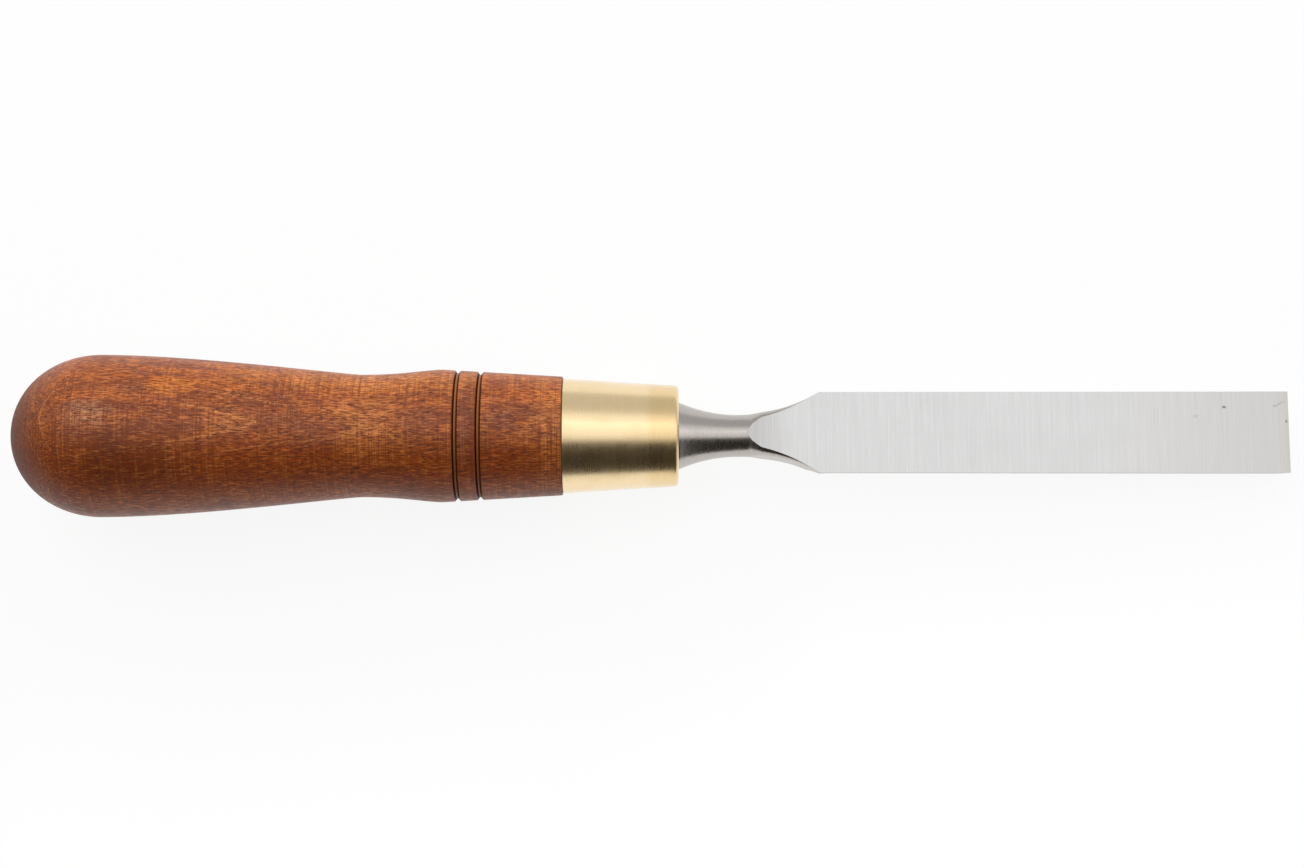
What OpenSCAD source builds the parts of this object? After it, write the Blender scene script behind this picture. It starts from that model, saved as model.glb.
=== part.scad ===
// Bevel edge chisel with a turned wooden handle and a brass ferrule.
// Millimetres. The tool's axis is X, with the cutting edge at the +X end. Z is the outward side of the
// blade's flat back. The origin is on the axis, in the plane of the ferrule's front face.

/* [Handle] */
// Length of the wood in sight, from the butt to the ferrule
grip_l = 107.4; // [100:0.1:125]
// Largest diameter, in the bulb near the butt
bulb_d = 31.7; // [28:0.1:36]
// Distance from the butt to the largest diameter
bulb_at = 17.6; // [14:0.1:24]
// Bluntness of the butt: 2 is a plain ellipse, more is flatter
butt_power = 2.05; // [2:0.05:2.6]
// Diameter of the waist
waist_d = 23.9; // [20:0.1:26]
// Distance from the butt to the waist
waist_at = 68.5; // [60:0.1:75]
// Diameter of the swell in front of the waist
swell_d = 25.9; // [24:0.1:30]
// Distance from the butt to the swell
swell_at = 84; // [80:0.1:85]
// Diameter of the wood where it meets the ferrule
nose_d = 23.2; // [22.8:0.1:26]
// Chamfer on the edge of the wood beside the ferrule
nose_chamfer = 0.25; // [0.1:0.05:0.6]

/* [Handle grooves] */
// Number of turned grooves round the swell
groove_count = 2; // [0:1:3]
// Distance from the butt to the middle of the first groove
groove_at = 87; // [86.4:0.1:88.4]
// Spacing of the grooves
groove_pitch = 4.4; // [2.5:0.1:4.8]
// Width of a groove at the surface
groove_w = 1.2; // [0.6:0.1:1.6]
// Depth of a groove
groove_depth = 0.55; // [0.3:0.05:1.2]
// Width of the flat bottom of a groove
groove_floor = 0.3; // [0.1:0.05:0.5]

/* [Ferrule] */
// Length of the ferrule
ferrule_l = 22.6; // [18:0.1:28]
// Diameter at the back rim
ferrule_back_d = 22.5; // [21.8:0.1:23]
// Length of the front land, which has less taper
land_l = 5.4; // [4:0.1:10]
// Diameter where the front land starts
land_d = 20.3; // [20:0.1:21.4]
// Diameter at the front, before its corner is rounded
ferrule_front_d = 19.7; // [19:0.1:20]
// Radius of the front corner
front_corner_r = 1; // [0.4:0.1:1.6]
// Chamfer on the back rim
rim_chamfer = 0.3; // [0.1:0.05:0.5]
// Thickness of the wall
ferrule_wall = 1.2; // [0.8:0.1:1.6]
// Thickness of the lip turned in at the front
lip_t = 1.5; // [1:0.1:2.5]
// Gap between the ferrule and the tenon inside it
ferrule_fit = 0.05; // [0.02:0.01:0.15]
// Chamfer on the end of the tenon
tenon_chamfer = 0.8; // [0.4:0.1:1.4]

/* [Bolster and neck] */
// Diameter of the bolster where it leaves the ferrule
bolster_d = 13.2; // [11.5:0.1:14.5]
// Gap round the bolster in the ferrule's lip
bolster_fit = 0.1; // [0.05:0.05:0.3]
// Length of the flare from the bolster down to the neck
bolster_flare_l = 11.6; // [8:0.1:15]
// Diameter of the neck
neck_d = 8.2; // [7:0.1:8.6]
// Length of the straight stretch of the neck
neck_l = 1.8; // [1.6:0.1:5]
// Length of the flare from the neck to the blade's shoulders
shoulder_flare_l = 13.8; // [10:0.1:18]

/* [Tang] */
// Length of the tang behind the bolster
tang_l = 62; // [45:1:75]
// Side of the square tang at the bolster
tang_root = 7.4; // [6:0.1:8]
// Side of the square tang at its end
tang_tip = 3.2; // [2:0.1:4.4]
// Gap left round the tang by the wood that it presses aside
tang_fit = 0.05; // [0.02:0.01:0.15]
// Diameter of the wide step of the pilot bore
pilot_wide_d = 7.8; // [6.5:0.1:9]
// Depth of the wide step of the pilot bore
pilot_wide_l = 24; // [15:1:35]
// Diameter of the narrow step of the pilot bore
pilot_narrow_d = 5; // [4:0.1:6]
// Room left past the end of the tang
pilot_room = 2.5; // [1:0.5:6]

/* [Blade] */
// Distance from the ferrule to the cutting edge
blade_reach = 118.2; // [90:0.1:150]
// Width of the cutting edge
edge_w = 16; // [14:0.1:18]
// Width of the blade at its shoulders
shoulder_w = 15.8; // [13.6:0.1:18]
// Height of the flat back above the tool's axis
back_h = 4.45; // [4.35:0.05:5]
// Thickness of the blade at its shoulders
shoulder_t = 4.4; // [3.8:0.1:5.4]
// Thickness of the blade at the cutting edge, before it is sharpened
edge_t = 3.2; // [2.4:0.1:3.8]
// Length of the sweep from the neck's underside to the blade's
underside_l = 16; // [12:0.5:30]
// Height of the upright side under the flat back
side_land = 1.1; // [0.5:0.1:1.8]
// Angle between the side bevels and the back
side_bevel = 32; // [22:1:42]
// Distance from the shoulders to the full depth of the side bevels
bevel_start = 2.5; // [0:0.1:10]
// Radius of the scoop that ends the side bevels at the shoulders
bevel_scoop_r = 6; // [5:0.5:12]
// Angle of the cutting bevel
edge_bevel = 25; // [20:1:35]

/* [Hidden] */
$fn = 96;

// Steps along one curve of a turned outline
curve_steps = 16;
// Level shares of the handle's curve at the bulb, and at the waist behind and in front
bulb_lead = 0.35;
waist_tail = 0.07;
waist_lead = 0.5;
// Level share of that curve at the swell
swell_tail = 0.2;
// Rings along the neck's rise, along the shoulders and along the rest of the underside's sweep
neck_rings = 4;
shoulder_rings = 18;
heel_rings = 6;
// Steps round one corner of a section of the forging
corner_steps = 8;
// Length in which the forging's top rises from the neck to its full height
rise_l = 4.5;
// Part of that length which lies in the neck
rise_lead = 3;
// Steel ground off the back
back_stock = 0.2;
// Corner radius of the shoulders, and the length in which the round neck comes down to it
flare_corner = 2.65;
flare_corner_l = 3;
// Depth by which solids of one piece reach into each other, and by which a cutter passes a surface
bite = 0.5;
past = 4;
// Step at the start of the forging's sections, which lies inside the neck
neck_step = 0.03;

butt_x = -ferrule_l - grip_l;
neck_r = neck_d / 2;
neck_x = bolster_flare_l + neck_l;
forge_x = neck_x - rise_lead;
shoulder_x = neck_x + shoulder_flare_l;
underside_x = neck_x + underside_l;
bore_end_x = -lip_t - tang_l - pilot_room;

// Radius of an arc that starts level and climbs by rise over run
function arc_r(run, rise) = (run * run + rise * rise) / (2 * rise);

// Climb of that arc at a distance along it
function arc_climb(run, rise, at) =
    let (r = arc_r(run, rise))
    r - sqrt(r * r - at * at);

function mix(a, b, t) = a + (b - a) * t;

function clamp(t) = min(1, max(0, t));

function smooth(t) = t * t * (3 - 2 * t);

function cubic(a, b, c, d, t) =
    a * pow(1 - t, 3) + 3 * b * t * pow(1 - t, 2) + 3 * c * t * t * (1 - t) + d * pow(t, 3);

// Points of a curve from a to b, as [radius, x], that is level for a share of its run at both ends
function level_curve(a, b, lead, tail) =
    let (run = [0, b[1] - a[1]])
    [for (i = [1 : curve_steps]) cubic(a, a + lead * run, b - tail * run, b, i / curve_steps)];

// Lay a shape turned about Z along the tool's axis
module turned() {
    rotate([0, 90, 0])
    rotate_extrude()
    children();
}

// Extrude an outline drawn in X and Z across the tool
module across(width) {
    rotate([90, 0, 0])
    linear_extrude(width, center = true)
    children();
}

// Outer radius of the ferrule at a place on the axis
function ferrule_r(x) =
    x < -land_l
    ? mix(ferrule_back_d, land_d, (x + ferrule_l) / (ferrule_l - land_l)) / 2
    : mix(land_d, ferrule_front_d, (x + land_l) / land_l) / 2;

// Radius of the tenon inside the ferrule
function tenon_r(x) = ferrule_r(x) - ferrule_wall - ferrule_fit;

// Radius of the straight taper from the swell to the ferrule, at a distance from the butt
function taper_r(at) = mix(swell_d, nose_d, (at - swell_at) / (grip_l - swell_at)) / 2;

// Round butt, as [radius, x]
butt_outline = [
    for (i = [0 : curve_steps])
    let (t = 1 - cos(90 * i / curve_steps))
    [bulb_d / 2 * pow(1 - pow(1 - t, butt_power), 1 / butt_power), butt_x + bulb_at * t]
];

// Outline of one groove, as [radius, x]
function groove_outline(at) = [
    [taper_r(at - groove_w / 2), butt_x + at - groove_w / 2],
    [taper_r(at) - groove_depth, butt_x + at - groove_floor / 2],
    [taper_r(at) - groove_depth, butt_x + at + groove_floor / 2],
    [taper_r(at + groove_w / 2), butt_x + at + groove_w / 2]
];

module handle_blank() {
    bulb = [bulb_d / 2, butt_x + bulb_at];
    waist = [waist_d / 2, butt_x + waist_at];
    swell = [swell_d / 2, butt_x + swell_at];
    grooves = [
        for (i = [0 : 1 : groove_count - 1])
        each groove_outline(groove_at + i * groove_pitch)
    ];
    nose = [
        [taper_r(grip_l - nose_chamfer), -ferrule_l - nose_chamfer],
        [nose_d / 2 - nose_chamfer, -ferrule_l]
    ];
    tenon = [
        [tenon_r(-ferrule_l), -ferrule_l],
        [tenon_r(-land_l), -land_l],
        [tenon_r(-lip_t - tenon_chamfer), -lip_t - tenon_chamfer],
        [tenon_r(-lip_t) - tenon_chamfer, -lip_t],
        [0, -lip_t]
    ];
    turned()
    polygon(concat(
        butt_outline,
        level_curve(bulb, waist, bulb_lead, waist_tail),
        level_curve(waist, swell, waist_lead, swell_tail),
        grooves,
        nose,
        tenon
    ));
}

// Stepped bore that is drilled before the tang is driven in
module pilot_bore() {
    translate([bore_end_x, 0, 0])
    rotate([0, 90, 0])
    cylinder(h = past - bore_end_x, d = pilot_narrow_d);
    translate([-lip_t - pilot_wide_l, 0, 0])
    rotate([0, 90, 0])
    cylinder(h = pilot_wide_l + past, d = pilot_wide_d);
}

// Tapered square tang, grown on every side by a fit, with its root in the bolster
module tang(fit = 0) {
    slope = (tang_root - tang_tip) / tang_l;
    root_x = bite - lip_t;
    tip_x = -lip_t - tang_l - fit;
    root_w = tang_root + slope * bite + 2 * fit;
    tip_w = tang_tip - slope * fit + 2 * fit;
    outline = [
        [tip_x, -tip_w / 2],
        [root_x, -root_w / 2],
        [root_x, root_w / 2],
        [tip_x, tip_w / 2]
    ];
    intersection() {
        linear_extrude(tang_root * 2, center = true)
        polygon(outline);
        across(tang_root * 2)
        polygon(outline);
    }
}

module handle() {
    color("sienna")
    difference() {
        handle_blank();
        pilot_bore();
        tang(tang_fit);
    }
}

module ferrule() {
    front_r = ferrule_front_d / 2 - front_corner_r;
    corner = [
        for (i = [0 : curve_steps])
        let (angle = 90 * i / curve_steps)
        [front_r + front_corner_r * cos(angle), front_corner_r * (sin(angle) - 1)]
    ];
    hole_r = bolster_d / 2 + bolster_fit;
    color("goldenrod")
    turned()
    polygon(concat(
        [
            [ferrule_r(-ferrule_l) - ferrule_wall, -ferrule_l],
            [ferrule_r(-ferrule_l) - rim_chamfer, -ferrule_l],
            [ferrule_r(rim_chamfer - ferrule_l), rim_chamfer - ferrule_l],
            [land_d / 2, -land_l]
        ],
        corner,
        [
            [hole_r, 0],
            [hole_r, -lip_t],
            [ferrule_r(-lip_t) - ferrule_wall, -lip_t],
            [land_d / 2 - ferrule_wall, -land_l]
        ]
    ));
}

// Round bolster and neck, from the seat on the tenon to the straight of the neck
module bolster_and_neck() {
    flare = [
        for (i = [0 : curve_steps])
        let (at = bolster_flare_l * (1 - i / curve_steps))
        [neck_r + arc_climb(bolster_flare_l, bolster_d / 2 - neck_r, at), bolster_flare_l - at]
    ];
    turned()
    polygon(concat(
        [[0, -lip_t], [bolster_d / 2, -lip_t]],
        flare,
        [[neck_r, neck_x], [0, neck_x]]
    ));
}

// Half the width of the forging: the shoulders' arc, then the blade's slight taper
function half_width(x) =
    x < shoulder_x
    ? neck_r - neck_step
        + arc_climb(shoulder_flare_l, shoulder_w / 2 - neck_r + neck_step, max(0, x - neck_x))
    : mix(shoulder_w, edge_w, (x - shoulder_x) / (blade_reach - shoulder_x)) / 2;

// Top of the forging before its back is ground flat
function stock_top(x) =
    mix(neck_r - neck_step, back_h + back_stock, pow(clamp((x - forge_x) / rise_l), 2));

// Thickness of the blade from its back to its underside
function blade_t(x) =
    mix(shoulder_t, edge_t, (x - shoulder_x) / (blade_reach - shoulder_x));

function underside(x) =
    mix(neck_step - neck_r, back_h - blade_t(x), smooth(clamp((x - neck_x) / underside_l)));

// Corner radius of the forging's sections, from round at the neck to the ground-off corner of the blade
function corner_r(x) =
    mix(flare_corner, back_stock, clamp((x - neck_x) / shoulder_flare_l))
    + (neck_r - 2 * neck_step - flare_corner) * (1 - smooth(clamp((x - neck_x) / flare_corner_l)));

// One section of the forging, a rounded rectangle in the plane of x
function section(x) = [
    for (quarter = [0 : 3])
    for (i = [0 : corner_steps])
    let (
        r = corner_r(x),
        angle = 90 * (quarter + i / corner_steps),
        side = quarter == 0 || quarter == 3 ? 1 : -1,
        mid_y = side * (half_width(x) - r),
        mid_z = quarter < 2 ? stock_top(x) - r : underside(x) + r
    )
    [x, mid_y + r * cos(angle), mid_z + r * sin(angle)]
];

// Neck end, shoulders and blade of the forging as one skin over its sections
module forged_blade() {
    stations = concat(
        [for (i = [0 : neck_rings - 1]) mix(forge_x, neck_x, i / neck_rings)],
        [for (i = [0 : shoulder_rings]) mix(neck_x, shoulder_x, pow(i / shoulder_rings, 1.4))],
        [for (i = [1 : heel_rings]) mix(shoulder_x, underside_x, i / heel_rings)],
        [blade_reach + past]
    );
    around = 4 * (corner_steps + 1);
    last = len(stations) - 1;
    sides = [
        for (i = [0 : last - 1])
        for (j = [0 : around - 1])
        let (
            a = i * around + j,
            b = i * around + (j + 1) % around
        )
        each [[a, a + around, b + around], [a, b + around, b]]
    ];
    near_end = [for (j = [0 : around - 1]) j];
    far_end = [for (j = [around - 1 : -1 : 0]) last * around + j];
    polyhedron(
        points = [for (x = stations) each section(x)],
        faces = concat(sides, [near_end, far_end])
    );
}

// Steel above the flat back
module back_grind() {
    translate([forge_x - bite, -edge_w, back_h])
    cube([blade_reach + 2 * past, 2 * edge_w, bolster_d]);
}

// Steel outside one side bevel, which follows the blade's side and ends in a round scoop at the shoulders
module side_bevel_grind() {
    side_l = blade_reach - shoulder_x;
    side_taper = atan((edge_w - shoulder_w) / 2 / side_l);
    start_x = bevel_start - side_l;
    depth = 2 * bevel_scoop_r;
    scoop = [
        for (i = [0 : curve_steps])
        let (angle = 90 * (1 - i / curve_steps))
        [start_x - bevel_scoop_r * sin(angle), bevel_scoop_r * (1 - cos(angle))]
    ];
    translate([blade_reach, edge_w / 2, back_h - side_land])
    rotate([0, 0, side_taper])
    rotate([180 + side_bevel, 0, 0])
    across(4 * edge_w)
    polygon(concat(scoop, [[past, 0], [past, depth], [start_x - bevel_scoop_r, depth]]));
}

// Steel under the cutting bevel
module edge_grind() {
    rise = tan(edge_bevel);
    run = 2 * shoulder_t / rise;
    across(2 * edge_w)
    polygon([
        [blade_reach - run, back_h - run * rise],
        [blade_reach + 2 * past, back_h - run * rise],
        [blade_reach + 2 * past, back_h + 2 * past * rise]
    ]);
}

module blade() {
    color("gainsboro")
    union() {
        tang();
        bolster_and_neck();
        difference() {
            forged_blade();
            back_grind();
            side_bevel_grind();
            mirror([0, 1, 0]) side_bevel_grind();
            edge_grind();
        }
    }
}

handle();
ferrule();
blade();
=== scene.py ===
"""Bevel edge chisel with a turned wooden handle and a brass ferrule, on a white studio floor.

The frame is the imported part: metres, the tool's axis along X with the cutting edge at the +X end,
and Z out of the blade's flat back. Sizes in the classes are in millimetres, as on a workshop
drawing, and are turned into metres when a mesh is made.
"""
import logging
import math
from dataclasses import dataclass
from enum import Enum
from typing import Protocol, Union

import bmesh
import bpy
from mathutils import Matrix, Vector


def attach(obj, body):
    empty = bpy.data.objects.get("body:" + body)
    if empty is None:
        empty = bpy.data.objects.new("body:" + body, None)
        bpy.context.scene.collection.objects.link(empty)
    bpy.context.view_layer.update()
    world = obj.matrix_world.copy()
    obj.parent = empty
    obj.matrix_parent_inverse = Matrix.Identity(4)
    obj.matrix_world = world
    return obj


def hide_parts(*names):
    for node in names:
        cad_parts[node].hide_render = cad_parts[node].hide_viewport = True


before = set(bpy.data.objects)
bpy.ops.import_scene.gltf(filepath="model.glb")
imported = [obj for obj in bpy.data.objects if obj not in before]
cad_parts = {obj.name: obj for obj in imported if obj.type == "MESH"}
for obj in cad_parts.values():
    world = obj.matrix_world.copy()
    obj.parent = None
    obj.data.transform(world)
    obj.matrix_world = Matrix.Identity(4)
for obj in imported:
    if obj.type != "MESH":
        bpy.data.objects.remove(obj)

Point = tuple[float, float]
Triple = tuple[float, float, float]
Colour = Triple
Socket = bpy.types.NodeSocket
Value = Union[Socket, float, tuple]

MM = 0.001
BODY = "root"

# Share of an outline's side that an eased corner may take up, and the radius in millimetres
# below which a point counts as on the axis.
CORNER_ROOM = 0.45
ON_AXIS = 1e-6

log = logging.getLogger("chisel")


class Zone(Enum):
    """Surfaces of the blade, each bounded by crisp ground edges."""

    FORGED = 0
    BACK = 1
    SIDE_BEVEL = 2
    EDGE_BEVEL = 3

    @property
    def ground(self) -> bool:
        """Whether the surface is ground across the blade."""
        return self is not Zone.FORGED


def mix(a: float, b: float, t: float) -> float:
    """Value a share t of the way from a to b."""
    return a + (b - a) * t


def clamp(t: float) -> float:
    """Share t held between 0 and 1."""
    return min(1.0, max(0.0, t))


def smooth(t: float) -> float:
    """Share t eased at both ends."""
    return t * t * (3 - 2 * t)


def spread(a: float, b: float, count: int) -> list[float]:
    """Evenly spaced values from a to b, both included, in count steps."""
    return [mix(a, b, i / count) for i in range(count + 1)]


def arc(centre: Point, radius: float, start: float, end: float, steps: int) -> list[Point]:
    """Points of an arc about a centre, from one angle to another."""
    return [(centre[0] + radius * math.cos(a), centre[1] + radius * math.sin(a))
            for a in spread(start, end, steps)]


def arc_climb(run: float, rise: float, at: float) -> float:
    """Height, at a distance from its level end, of an arc that climbs by rise over run."""
    radius = (run * run + rise * rise) / (2 * rise)
    return radius - math.sqrt(radius * radius - at * at)


def level_curve(a: Point, b: Point, lead: float, tail: float, steps: int) -> list[Point]:
    """Points of a curve that leaves a and reaches b level with the axis.

    Args:
        a: First point, as distance along the axis and radius.
        b: Last point.
        lead: Share of the run that pulls the curve level at a.
        tail: Share of the run that pulls it level at b.
        steps: Number of steps.

    Returns:
        The points after a, up to and with b.
    """
    run = b[0] - a[0]
    pulls = (a, (a[0] + lead * run, a[1]), (b[0] - tail * run, b[1]), b)
    points = []
    for t in spread(0, 1, steps)[1:]:
        weights = ((1 - t) ** 3, 3 * t * (1 - t) ** 2, 3 * t * t * (1 - t), t ** 3)
        points.append(tuple(sum(w * p[k] for w, p in zip(weights, pulls)) for k in (0, 1)))
    return points


def round_corner(before: Point, corner: Point, after: Point, radius: float,
                 steps: int = 5) -> list[Point]:
    """Points of a small arc that eases the corner of an outline.

    Args:
        before: Point of the outline before the corner.
        corner: The sharp corner.
        after: Point of the outline after it.
        radius: Radius of the arc, cut down where the outline has no room for it.
        steps: Number of steps round the arc.

    Returns:
        The points that take the corner's place.
    """
    middle = Vector(corner)
    u, v = Vector(before) - middle, Vector(after) - middle
    room = CORNER_ROOM * min(u.length, v.length)
    reach = min(radius / math.tan(u.angle(v) / 2), room)
    start, end = middle + u.normalized() * reach, middle + v.normalized() * reach
    points = []
    for t in spread(0, 1, steps):
        p = start * (1 - t) ** 2 + middle * 2 * t * (1 - t) + end * t * t
        points.append((p.x, p.y))
    return points


@dataclass(frozen=True)
class Mottle:
    """A noise pattern on a piece: the size of its marks in millimetres, a shift and its layers."""

    size: Triple
    shift: Triple = (0.0, 0.0, 0.0)
    detail: float = 2.0
    rough: float = 0.5
    distort: float = 0.0


@dataclass(frozen=True)
class Ramp:
    """An eased change from start to end, as a number goes from low to high."""

    low: float
    high: float
    start: float = 0.0
    end: float = 1.0


class Board:
    """A node tree with short calls that add nodes and join them."""

    def __init__(self, tree: bpy.types.NodeTree) -> None:
        """Clear a node tree and keep it for the calls."""
        self.tree = tree
        tree.nodes.clear()

    def feed(self, socket: Socket, value: Value) -> None:
        """Join a socket to another one, or set it to a plain value.

        Args:
            socket: The input to fill.
            value: An output to join, a number, a vector or a colour.
        """
        if isinstance(value, bpy.types.NodeSocket):
            self.tree.links.new(value, socket)
        elif isinstance(value, tuple) and socket.type == "RGBA" and len(value) == 3:
            socket.default_value = (*value, 1.0)
        else:
            socket.default_value = value

    def add(self, kind: str, inputs: dict[str | int, Value] | None = None,
            **settings: object) -> bpy.types.Node:
        """Add a node.

        Args:
            kind: Blender's name of the node type, without its ShaderNode prefix.
            inputs: Values for its inputs, by name or number.
            **settings: Values for its other settings.

        Returns:
            The node.
        """
        node = self.tree.nodes.new("ShaderNode" + kind)
        for name, value in settings.items():
            setattr(node, name, value)
        for name, value in (inputs or {}).items():
            self.feed(node.inputs[name], value)
        return node

    def place(self, size: Triple = (1.0, 1.0, 1.0), shift: Triple = (0.0, 0.0, 0.0)) -> Socket:
        """Place on the piece, in millimetres or in other lengths.

        Args:
            size: Length in millimetres that counts as one along each axis.
            shift: Shift after that, to pick another part of a pattern.

        Returns:
            A vector output.
        """
        where = self.add("TexCoord").outputs["Object"]
        scale = tuple(1 / (MM * length) for length in size)
        values = {"Vector": where, "Scale": scale, "Location": shift}
        return self.add("Mapping", values).outputs["Vector"]

    def axis(self, place: Socket, name: str) -> Socket:
        """One of the three numbers of a vector."""
        return self.add("SeparateXYZ", {"Vector": place}).outputs[name]

    def along(self) -> Socket:
        """Distance along the tool's axis in millimetres."""
        return self.axis(self.place(), "X")

    def noise(self, kind: Mottle) -> Socket:
        """Noise between 0 and 1 in a given pattern."""
        values = {"Vector": self.place(kind.size, kind.shift), "Scale": 1.0, "Detail": kind.detail,
                  "Roughness": kind.rough, "Distortion": kind.distort}
        return self.add("TexNoise", values).outputs["Fac"]

    def math(self, work: str, a: Value, b: Value = 0.0) -> Socket:
        """One sum on numbers, by Blender's name of the operation."""
        return self.add("Math", {0: a, 1: b}, operation=work).outputs[0]

    def times(self, a: Value, b: Value) -> Socket:
        """Product of two numbers."""
        return self.math("MULTIPLY", a, b)

    def plus(self, a: Value, b: Value) -> Socket:
        """Sum of two numbers."""
        return self.math("ADD", a, b)

    def minus(self, a: Value, b: Value) -> Socket:
        """Difference of two numbers."""
        return self.math("SUBTRACT", a, b)

    def off(self, a: Value, b: Value) -> Socket:
        """Distance between two numbers."""
        return self.math("ABSOLUTE", self.minus(a, b))

    def ramp(self, value: Socket, ramp: Ramp) -> Socket:
        """A number carried through a ramp and held at both ends."""
        values = {"Value": value, "From Min": ramp.low, "From Max": ramp.high,
                  "To Min": ramp.start, "To Max": ramp.end}
        return self.add("MapRange", values, interpolation_type="SMOOTHSTEP").outputs["Result"]

    def blend(self, share: Value, a: Value, b: Value, way: str = "MIX") -> Socket:
        """Mix two colours.

        Args:
            share: How much of the second colour.
            a: First colour.
            b: Second colour.
            way: Blender's name of the blend.

        Returns:
            A colour output.
        """
        node = self.add("Mix", data_type="RGBA", blend_type=way)
        for name, value in (("Factor_Float", share), ("A_Color", a), ("B_Color", b)):
            self.feed(next(s for s in node.inputs if s.identifier == name), value)
        return next(s for s in node.outputs if s.identifier == "Result_Color")

    def tint(self, colour: Value, tone: Value, value: Socket, ramp: Ramp) -> Socket:
        """Blend a tone into a colour by a number's place on a ramp."""
        return self.blend(self.ramp(value, ramp), colour, tone)

    def bump(self, height: Socket, depth: float, strength: float) -> Socket:
        """Normals bent by a share of a height, where 1 stands for a depth in millimetres."""
        values = {"Height": height, "Distance": depth * MM, "Strength": strength}
        return self.add("Bump", values).outputs["Normal"]

    def mixed(self, share: Socket, a: Socket, b: Socket) -> Socket:
        """Shader mixed from two shaders, by the share of the second one."""
        return self.add("MixShader", {0: share, 1: a, 2: b}).outputs["Shader"]

    def seen(self) -> Socket:
        """Whether a ray comes from the camera, straight, mirrored or through glass.

        Returns:
            A number output.
        """
        path = self.add("LightPath").outputs
        mirrored = self.math("MAXIMUM", path["Is Glossy Ray"], path["Is Transmission Ray"])
        return self.math("MAXIMUM", path["Is Camera Ray"], mirrored)

    def surface(self, shader: Socket) -> None:
        """Make a shader the surface of the material."""
        self.add("OutputMaterial", {"Surface": shader})

    def principled(self, inputs: dict[str, Value]) -> None:
        """Make a principled shader with these inputs the surface of the material."""
        self.surface(self.add("BsdfPrincipled", inputs).outputs["BSDF"])


class Finish(Protocol):
    """Anything that can make a Blender material for a piece."""

    def material(self) -> bpy.types.Material:
        """Make the material."""


def new_material(name: str) -> tuple[bpy.types.Material, Board]:
    """Start a material.

    Args:
        name: Its name.

    Returns:
        The material and the board of its empty node tree.
    """
    material = bpy.data.materials.new(name)
    material.use_nodes = True
    return material, Board(material.node_tree)


@dataclass(frozen=True)
class ToneAndPaintedLightPatch:
    """A soft-edged place in another tone: stains and marks, and also painted shade and highlight.
    """

    colour: Colour
    at: Triple
    half: Triple
    share: float
    frayed: float = 0.9
    edge: Point = (1.45, 0.75)

    def cover(self, board: Board, fray: Socket) -> Socket:
        """Share of the patch's colour at each place.

        Args:
            board: The node tree.
            fray: Noise that frays the edge.

        Returns:
            A number output.
        """
        place = board.place(self.half, tuple(-a / b for a, b in zip(self.at, self.half)))
        off = board.add("VectorMath", {0: place}, operation="LENGTH").outputs["Value"]
        off = board.plus(off, board.times(fray, self.frayed))
        return board.ramp(off, Ramp(*self.edge, 0.0, self.share))


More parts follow.
